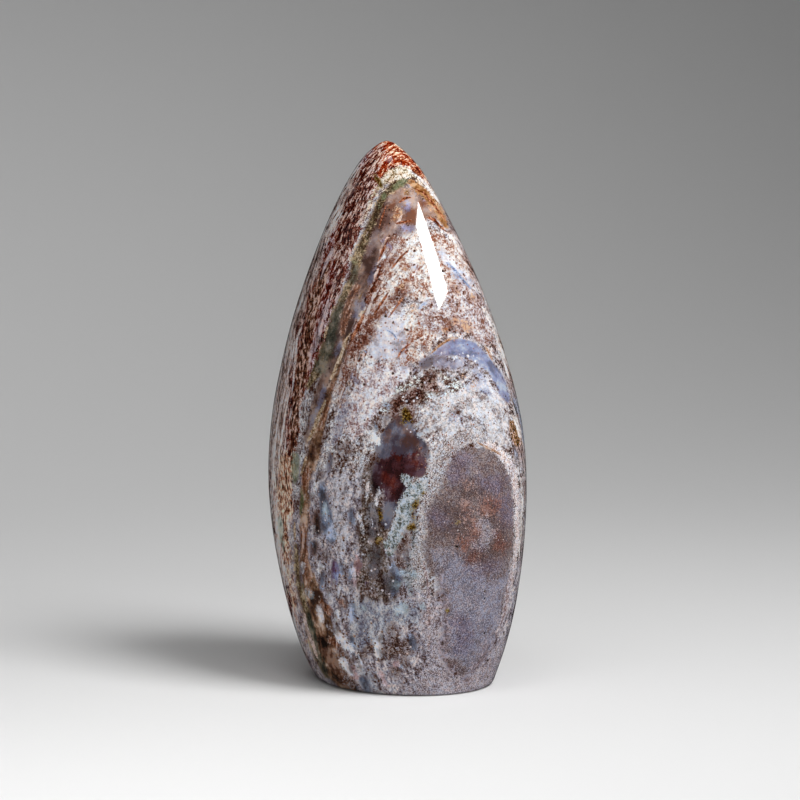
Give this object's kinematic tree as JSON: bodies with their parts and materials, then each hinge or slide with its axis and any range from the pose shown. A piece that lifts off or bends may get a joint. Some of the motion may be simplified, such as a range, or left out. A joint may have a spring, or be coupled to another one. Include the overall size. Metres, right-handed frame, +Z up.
{
  "type": "ocean jasper freeform",
  "caption": "Polished ocean jasper freeform, a leaning flame-shaped standing stone on a flat sawn foot.",
  "frame": {"origin": "middle of the stone's bounding box seen from above, on the plane of its flat foot", "axes": "+Z up along the stone's height, towards the tip; -Y towards the face that the picture shows"},
  "size_m": [0.0862, 0.0766, 0.18],
  "materials": {
    "polished_jasper": "Opaque chalcedony ground smooth and polished to a glassy gloss. Rust-red and white flecks, cream, grey-brown, blue-grey and olive bands in nested shells, and a purple-grey eye at the lower right."
  },
  "bodies": {
    "root": {"jasper_stone": "polished_jasper"}
  },
  "joints": []
}
